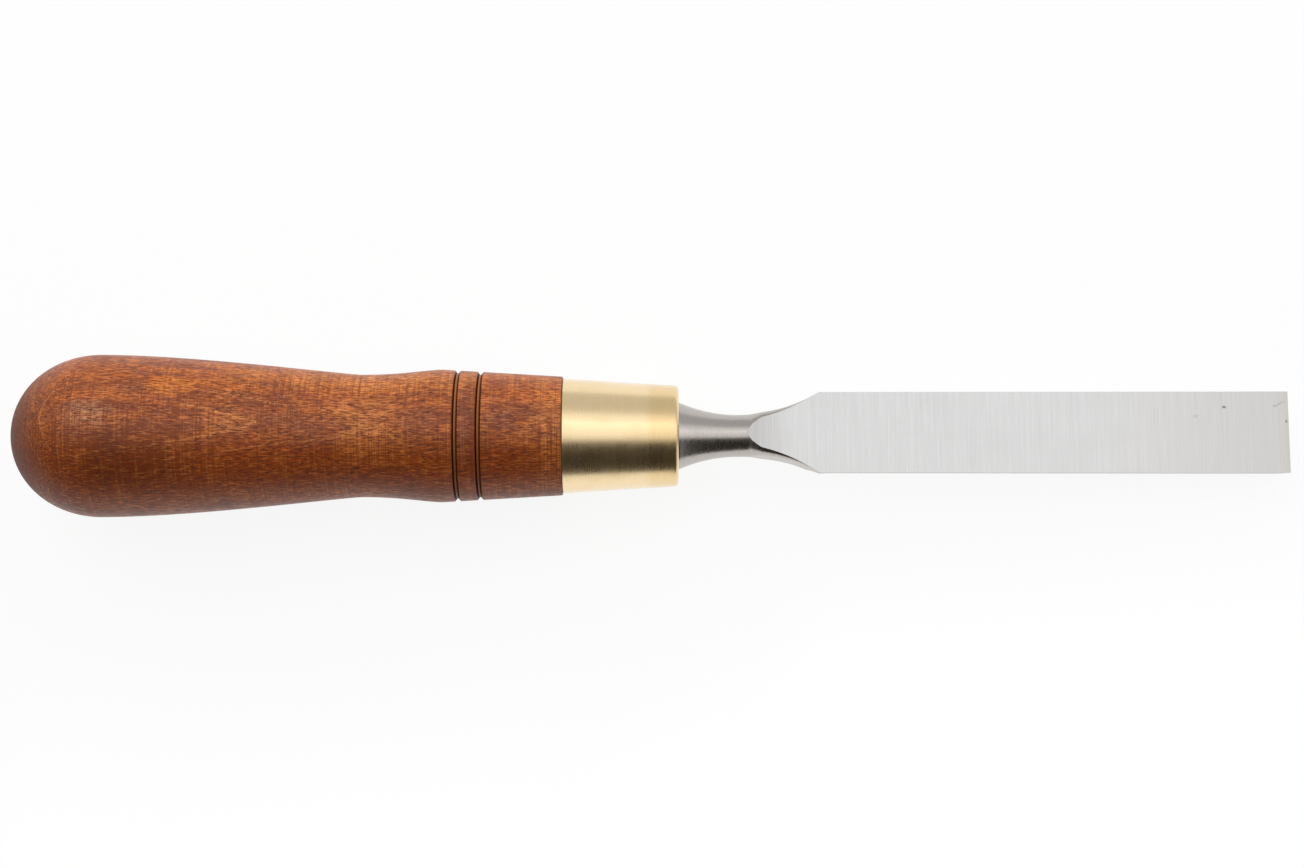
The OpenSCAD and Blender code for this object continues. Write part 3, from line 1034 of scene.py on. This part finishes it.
@dataclass
class Blade:
    """One forging: tang, bolster, neck, shoulders, and the blade with its flat back and bevels."""

    tang_l: float = 62.0
    tang_root: float = 7.4
    tang_tip: float = 3.2
    bolster_d: float = 13.2
    seat_x: float = -1.5
    bolster_flare_l: float = 11.6
    neck_d: float = 8.2
    neck_l: float = 1.8
    shoulder_flare_l: float = 13.8
    reach: float = 118.199
    edge_w: float = 16.0
    shoulder_w: float = 15.8
    back_h: float = 4.45
    back_stock: float = 0.2
    rise_l: float = 4.5
    rise_lead: float = 3.65
    flare_corner: float = 2.65
    flare_corner_l: float = 3.0
    shoulder_t: float = 4.4
    edge_t: float = 3.2
    underside_l: float = 16.0
    side_land: float = 1.1
    side_bevel: float = 32.0
    bevel_start: float = 2.5
    bevel_scoop_r: float = 6.0
    edge_bevel: float = 25.0

    # Steps round half a section.
    flat_steps: int = 8
    upper_steps: int = 12
    side_steps: int = 4
    lower_steps: int = 9
    bevel_steps: int = 8
    heel_steps: int = 5

    # Rings along the tool: up to the apex of the back, past it where they close up towards it as
    # the first part of a longer run, and from there to the cutting edge.
    seat_front: float = -0.2
    neck_rings: tuple[int, ...] = (26, 12, 6)
    apex_rings: int = 29
    apex_run: int = 44
    blade_rings: tuple[int, ...] = (40, 16, 12, 4, 3)

    # Limits in metres below which points and slivers are joined, the bend in degrees from which an
    # edge is crisp, and the halvings that find the heel of the cutting bevel.
    weld: float = 1e-7
    sliver: float = 1e-8
    crisp_bend: float = 28.0
    halvings: int = 40

    @property
    def neck_r(self) -> float:
        """Radius of the neck."""
        return self.neck_d / 2

    @property
    def neck_x(self) -> float:
        """Place where the neck starts to widen into the shoulders."""
        return self.bolster_flare_l + self.neck_l

    @property
    def shoulder_x(self) -> float:
        """Place of the shoulders."""
        return self.neck_x + self.shoulder_flare_l

    @property
    def rise_x(self) -> float:
        """Place where the top of the neck starts to rise."""
        return self.neck_x - self.rise_lead

    @property
    def apex_x(self) -> float:
        """Place where the flat back runs out on the neck."""
        share = (self.back_h - self.neck_r) / (self.back_h + self.back_stock - self.neck_r)
        return self.rise_x + self.rise_l * math.sqrt(share)

    @property
    def heel_x(self) -> float:
        """Place where the cutting bevel leaves the underside.

        Returns:
            The place on the tool's axis.
        """
        low, high = self.shoulder_x, self.reach
        for _ in range(self.halvings):
            middle = (low + high) / 2
            if self.edge_z(middle) < self.underside(middle):
                low = middle
            else:
                high = middle
        return low

    @property
    def scoop_x(self) -> float:
        """Place where the side bevels come to their full depth."""
        return self.shoulder_x + self.bevel_start

    def blade_share(self, x: float) -> float:
        """Share of the way from the shoulders to the cutting edge."""
        return (x - self.shoulder_x) / (self.reach - self.shoulder_x)

    def side(self, x: float) -> float:
        """Half the width between the upright sides, also carried on behind the shoulders."""
        return mix(self.shoulder_w, self.edge_w, self.blade_share(x)) / 2

    def half_width(self, x: float) -> float:
        """Half the width of the forging.

        Args:
            x: Place on the tool's axis.

        Returns:
            The half width.
        """
        if x >= self.shoulder_x:
            return self.side(x)
        rise = self.shoulder_w / 2 - self.neck_r
        return self.neck_r + arc_climb(self.shoulder_flare_l, rise, max(0.0, x - self.neck_x))

    def neck_radius(self, x: float) -> float:
        """Radius of the round bolster and neck.

        Args:
            x: Place on the tool's axis.

        Returns:
            The radius.
        """
        if x <= 0:
            return self.bolster_d / 2
        rise = self.bolster_d / 2 - self.neck_r
        at = max(0.0, self.bolster_flare_l - x)
        return self.neck_r + arc_climb(self.bolster_flare_l, rise, at)

    def stock_top(self, x: float) -> float:
        """Top of the forging before its back is ground."""
        rise = clamp((x - self.rise_x) / self.rise_l) ** 2
        return mix(self.neck_r, self.back_h + self.back_stock, rise)

    def underside(self, x: float) -> float:
        """Underside of the forging.

        Args:
            x: Place on the tool's axis.

        Returns:
            The height.
        """
        thick = mix(self.shoulder_t, self.edge_t, self.blade_share(x))
        share = smooth(clamp((x - self.neck_x) / self.underside_l))
        return mix(-self.neck_r, self.back_h - thick, share)

    def corner(self, x: float) -> float:
        """Corner radius of the forging's section.

        Args:
            x: Place on the tool's axis.

        Returns:
            The radius.
        """
        past = x - self.neck_x
        flare = mix(self.flare_corner, self.back_stock, clamp(past / self.shoulder_flare_l))
        neck = 1 - smooth(clamp(past / self.flare_corner_l))
        return flare + (self.neck_r - self.flare_corner) * neck

    def edge_z(self, x: float) -> float:
        """Height of the cutting bevel."""
        return self.back_h - (self.reach - x) * math.tan(math.radians(self.edge_bevel))

    def bevel_level(self, x: float) -> float:
        """How far out the side bevel lies, with the scoop that ends it at the shoulders.

        Args:
            x: Place on the tool's axis.

        Returns:
            The distance from the axis along the bevel's normal.
        """
        slope, scoop = math.radians(self.side_bevel), self.bevel_scoop_r
        edge_z = self.back_h - self.side_land
        level = self.side(x) * math.sin(slope) - edge_z * math.cos(slope)
        run = clamp((self.scoop_x - x) / scoop) * scoop
        return level + scoop - math.sqrt(scoop ** 2 - run ** 2)

    def half_section(self, x: float) -> list[Point]:
        """Half of a section, from the middle of the back to the middle of the underside.

        Args:
            x: Place on the tool's axis.

        Returns:
            Points as distance across and height, the same number at every place.
        """
        if x <= self.neck_x:
            r = wide = self.neck_radius(x)
            top, low = max(r, self.stock_top(x)), -r
        else:
            r, wide = self.corner(x), self.half_width(x)
            top, low = self.stock_top(x), self.underside(x)
        floor = max(low, self.edge_z(x))
        slope, down_end = math.radians(self.side_bevel), -math.pi / 2
        away = math.pi / 2 - slope
        up, down = (wide - r, top - r), (wide - r, low + r)
        level = self.bevel_level(x)
        reach = level - (down[0] * math.sin(slope) - down[1] * math.cos(slope))

        ground = x > self.rise_x and top > self.back_h
        lift = clamp((self.back_h - up[1]) / r) if ground else 1.0
        side_top = min(up[1], self.back_h) if ground else up[1]
        side_low, turn_high, turn_low = down[1], -away, -away
        if reach < r:
            cut = math.acos(max(-1.0, reach / r))
            turn_high = min(0.0, cut - away)
            if cut > away:
                side_low = min(side_top, (wide * math.sin(slope) - level) / math.cos(slope))
            turn_low = max(down_end, -away - cut)
        side_low = max(side_low, floor)

        upper_arc = arc(up, r, math.asin(lift), 0, self.upper_steps)
        edge_y, edge_z = upper_arc[0]
        points = [(edge_y * t, edge_z) for t in spread(0, 1, self.flat_steps)] + upper_arc
        points += [(wide, z) for z in spread(side_top, side_low, self.side_steps)]
        if turn_high < 0:
            points += arc(down, r, 0, turn_high, self.lower_steps)
        else:
            points += [(wide, side_low)] * (self.lower_steps + 1)
        upper = points[-1]
        if turn_low > down_end:
            tail = arc(down, r, turn_low, down_end, self.heel_steps)
        else:
            foot = min(wide, (level + floor * math.cos(slope)) / math.sin(slope))
            tail = [(foot, floor)] * (self.heel_steps + 1)
        lower, (end_y, end_z) = tail[0], tail[-1]
        points += [(mix(upper[0], lower[0], t), mix(upper[1], lower[1], t))
                   for t in spread(0, 1, self.bevel_steps)]
        return points + tail + [(end_y * t, end_z) for t in spread(1, 0, self.flat_steps)]

    def ring(self, x: float) -> list[Vector]:
        """A whole section, from the middle of the back and round.

        Args:
            x: Place on the tool's axis.

        Returns:
            The ring's points.
        """
        half = self.half_section(x)
        around = half + [(-y, z) for y, z in reversed(half[1:-1])]
        return [Vector((x, y, z)) for y, z in around]

    def square_ring(self, x: float, side: float) -> list[Vector]:
        """A ring of the square tang, with as many points as the other rings.

        Args:
            x: Place on the tool's axis.
            side: Side of the square.

        Returns:
            The ring's points.
        """
        ring = []
        for _, y, z in self.ring(self.seat_x):
            grow = side / 2 / max(abs(y), abs(z))
            ring.append(Vector((x, y * grow, z * grow)))
        return ring

    def stations(self) -> list[float]:
        """Places of the rings from the bolster's seat to the cutting edge.

        Returns:
            The places, closer together where the shape bends.
        """
        bend_end = max(self.scoop_x, self.neck_x + self.underside_l)
        land_end = self.reach - self.side_land / math.tan(math.radians(self.edge_bevel))
        neck_ends = (self.rise_x, self.neck_x, self.apex_x)
        blade_ends = (self.shoulder_x, bend_end, self.heel_x, land_end, self.reach)
        places = [self.seat_x, self.seat_front, 0.0]
        for end, rings in zip(neck_ends, self.neck_rings):
            places += spread(places[-1], end, rings)[1:]
        places += [mix(self.apex_x, self.shoulder_x, (i / self.apex_run) ** 2)
                   for i in range(1, self.apex_rings + 1)]
        for end, rings in zip(blade_ends, self.blade_rings):
            places += spread(places[-1], end, rings)[1:]
        return places

    def zone(self, x: float, column: int) -> Zone:
        """Surface that a face belongs to.

        Args:
            x: Middle of the face on the tool's axis.
            column: Its number in the half section, from the back to the underside.

        Returns:
            The surface.
        """
        runs_before = (self.flat_steps, self.upper_steps, self.side_steps, self.lower_steps)
        bevel_from = sum(runs_before) + len(runs_before)
        bevel_to = bevel_from + self.bevel_steps
        if column < self.flat_steps:
            return Zone.BACK if x > self.apex_x else Zone.FORGED
        if x > self.heel_x and column >= bevel_to:
            return Zone.EDGE_BEVEL
        if x > self.scoop_x - self.bevel_scoop_r and bevel_from <= column < bevel_to:
            return Zone.SIDE_BEVEL
        return Zone.FORGED

    def mesh(self) -> bpy.types.Mesh:
        """Skin the rings, close both ends and keep the ground edges crisp.

        Returns:
            The mesh, in metres.
        """
        tang_end, stations = self.seat_x - self.tang_l, self.stations()
        rings = [self.square_ring(tang_end, self.tang_tip)]
        rings.append(self.square_ring(self.seat_x, self.tang_root))
        rings += [self.ring(x) for x in stations]
        places = [tang_end, self.seat_x] + stations
        around = len(rings[0])
        work = bmesh.new()
        zone_of = work.faces.layers.int.new("zone")
        verts = [[work.verts.new(p * MM) for p in ring] for ring in rings]
        for i in range(len(rings) - 1):
            for j in range(around):
                k = (j + 1) % around
                corners = (verts[i][j], verts[i + 1][j], verts[i + 1][k], verts[i][k])
                face = work.faces.new(corners)
                column = min(j, around - 1 - j)
                zone = self.zone((places[i] + places[i + 1]) / 2, column)
                face[zone_of] = zone.value
                face.material_index = int(zone.ground)
                face.smooth = True
        work.faces.new(list(reversed(verts[0])))
        bmesh.ops.remove_doubles(work, verts=work.verts, dist=self.weld)
        bmesh.ops.dissolve_degenerate(work, dist=self.sliver, edges=work.edges)
        bmesh.ops.recalc_face_normals(work, faces=work.faces)
        crisp = math.radians(self.crisp_bend)
        for edge in work.edges:
            if len(edge.link_faces) == 2:
                a, b = edge.link_faces
                edge.smooth = a[zone_of] == b[zone_of] and edge.calc_face_angle(0.0) < crisp
        mesh = bpy.data.meshes.new("blade_mesh")
        work.to_mesh(mesh)
        work.free()
        return mesh

    def build(self, forged: Finish, ground: Finish) -> bpy.types.Object:
        """Make the blade and dress its forged and its ground surfaces."""
        return add_piece("forged_blade", self.mesh(), "blade", [forged, ground])


@dataclass(frozen=True)
class SoftBox:
    """One long soft box over the tool, tilted towards +Y, which metal mirrors or not."""

    name: str
    tilt: float
    width: float
    radiance: float
    in_metal: bool


@dataclass
class Studio:
    """White floor under the tool, soft boxes above and beside it, the room and the camera."""

    boxes: tuple[SoftBox, ...] = (
        SoftBox("core_box", 2.0, 540.0, 0.60, in_metal=True),
        SoftBox("wide_box", 8.0, 940.0, 0.44, in_metal=True),
        SoftBox("side_fill", 58.0, 740.0, 1.45, in_metal=False),
        SoftBox("low_fill", -84.0, 500.0, 0.22, in_metal=False),
    )
    box_away: float = 800.0
    box_l: float = 2400.0

    target: Triple = (-5.17, 0.395, 0.0)
    camera_away: float = 506.0
    camera_up: float = 80.01
    lens: float = 71.51
    film_w: float = 36.0
    near_clip: float = 0.01

    # Floor in front of the tool: distance along the axis, then the places across of its front, of
    # the line up to which it is plain white, and of the line from which it shows the shadow. The
    # rows that show the shadow are counted from the front.
    floor_front: tuple[tuple[float, float, float, float], ...] = (
        (-4000.0, -2600.0, -2590.0, -2574.0),
        (-420.0, -435.0, -420.0, -409.0),
        (-130.0, -260.0, -92.0, -32.0),
        (-40.0, -190.0, -84.0, -32.0),
        (9.0, -170.0, -64.0, -32.0),
        (16.0, -60.0, -58.0, -32.0),
        (30.0, -48.0, -46.0, -22.0),
        (130.0, -42.0, -40.0, -16.0),
        (420.0, -42.0, -40.0, -16.0),
        (4000.0, -42.0, -40.0, -16.0),
    )
    floor_near: float = 160.0
    floor_far: float = 420.0
    floor_back: float = 4000.0
    shadow_rows: tuple[int, ...] = (2, 3)
    nose_low: Point = (-22.76, -11.61)
    ferrule_low: Point = (-0.95, -9.90)

    # The room: pale, with one dark side in front of the tool that ends towards the cutting edge
    # and turns grey behind the butt.
    white: Colour = (1.0, 1.0, 1.0)
    pale_side: Colour = (0.60, 0.60, 0.60)
    dark_side: Colour = (0.034, 0.029, 0.022)
    grey_end: Colour = (0.110, 0.106, 0.100)
    grey_run: Ramp = Ramp(-0.54, -0.70)
    dark_end: Ramp = Ramp(0.54, 0.76, 0.0, 2.2)
    dark_end_power: float = 2.0
    pale_run: Ramp = Ramp(-0.10, 0.45)

    def floor(self, finish: Finish) -> bpy.types.Object:
        """Lay the floor under the handle's nose and the ferrule's front, where the tool rests.

        Args:
            finish: The paper's finish.

        Returns:
            The floor.
        """
        back, front = self.nose_low, self.ferrule_low
        slope = math.atan2(front[1] - back[1], front[0] - back[0])
        rows = [[(point[0], point[i]) for point in self.floor_front] for i in (1, 2, 3)]
        for y in (self.floor_near, self.floor_far, self.floor_back):
            rows.append([(point[0], y) for point in self.floor_front])
        verts, fades = [], []
        for i, row in enumerate(rows):
            for x, y in row:
                verts.append(((x - back[0]) * MM, y * MM, 0.0))
                shows = abs(x) < self.floor_far and i in self.shadow_rows
                fades.append(0.0 if shows else 1.0)
        count = len(self.floor_front)
        starts = [row * count + i for row in range(len(rows) - 1) for i in range(count - 1)]
        mesh = bpy.data.meshes.new("floor_mesh")
        mesh.from_pydata(verts, [], [(i, i + 1, i + 1 + count, i + count) for i in starts])
        fade = mesh.attributes.new(StudioPaper.edge_mark, "FLOAT", "POINT")
        fade.data.foreach_set("value", fades)
        place = Matrix.Translation((back[0] * MM, 0, back[1] * MM))
        mesh.transform(place @ Matrix.Rotation(-slope, 4, "Y"))
        floor = bpy.data.objects.new("studio_floor", mesh)
        bpy.context.scene.collection.objects.link(floor)
        mesh.materials.append(finish.material())
        return floor

    def soft_box(self, box: SoftBox) -> bpy.types.Object:
        """Hang a soft box over the tool.

        Args:
            box: The soft box.

        Returns:
            The lamp.
        """
        light = bpy.data.lights.new(box.name, "AREA")
        light.shape = "RECTANGLE"
        light.size, light.size_y = self.box_l * MM, box.width * MM
        light.energy = box.radiance * math.pi * light.size * light.size_y
        lamp = bpy.data.objects.new(box.name, light)
        angle, away = math.radians(box.tilt), self.box_away * MM
        lamp.location = (self.target[0] * MM, away * math.sin(angle), away * math.cos(angle))
        lamp.rotation_euler = (-angle, 0.0, 0.0)
        lamp.visible_camera = False
        lamp.visible_glossy = box.in_metal
        bpy.context.scene.collection.objects.link(lamp)
        return lamp

    def world(self) -> bpy.types.World:
        """Make the room: white to the camera, and otherwise pale with one dark side.

        Returns:
            The world.
        """
        world = bpy.data.worlds.new("studio_room")
        bpy.context.scene.world = world
        world.use_nodes = True
        board = Board(world.node_tree)
        way = board.add("TexCoord").outputs["Generated"]
        x, y, z = (board.axis(way, name) for name in "XYZ")
        low = board.math("POWER", board.minus(1.0, z), self.dark_end_power)
        across = board.plus(y, board.times(board.ramp(x, self.dark_end), low))
        dark = board.tint(self.dark_side, self.grey_end, x, self.grey_run)
        walls = board.tint(dark, self.pale_side, across, self.pale_run)
        room, white = (board.add("Background", {"Color": colour, "Strength": 1.0})
                       for colour in (walls, self.white))
        seen = board.add("LightPath").outputs["Is Camera Ray"]
        mixed = board.mixed(seen, room.outputs["Background"], white.outputs["Background"])
        board.add("OutputWorld", {"Surface": mixed})
        return world

    def camera(self) -> bpy.types.Object:
        """Set the camera where the photograph was taken from.

        Returns:
            The camera.
        """
        data = bpy.data.cameras.new("camera")
        data.lens, data.sensor_width, data.clip_start = self.lens, self.film_w, self.near_clip
        camera = bpy.data.objects.new("camera", data)
        angle = math.radians(self.camera_up)
        away = Vector((0.0, -math.cos(angle), math.sin(angle))) * self.camera_away
        camera.location = (Vector(self.target) + away) * MM
        camera.rotation_euler = (math.pi / 2 - angle, 0.0, 0.0)
        bpy.context.scene.collection.objects.link(camera)
        bpy.context.scene.camera = camera
        return camera

    def build(self, paper: Finish) -> None:
        """Set up the whole studio.

        Args:
            paper: Finish of the floor.
        """
        bpy.context.scene.view_settings.view_transform = "Standard"
        self.camera()
        self.floor(paper)
        for box in self.boxes:
            self.soft_box(box)
        self.world()


def main() -> None:
    """Build the studio and the chisel's pieces in order, and report each piece."""
    logging.basicConfig(level=logging.INFO, format="%(name)s: %(message)s")
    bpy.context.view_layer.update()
    Studio().build(StudioPaper())
    pieces = [
        Handle().build(StainedWood()),
        Ferrule().build(SatinBrass()),
        Blade().build(BladeSteel.satin(), BladeSteel()),
    ]
    for piece in pieces:
        points, faces = len(piece.data.vertices), len(piece.data.polygons)
        log.info("%s: %d points, %d faces", piece.name, points, faces)


if __name__ == "__main__":
    main()
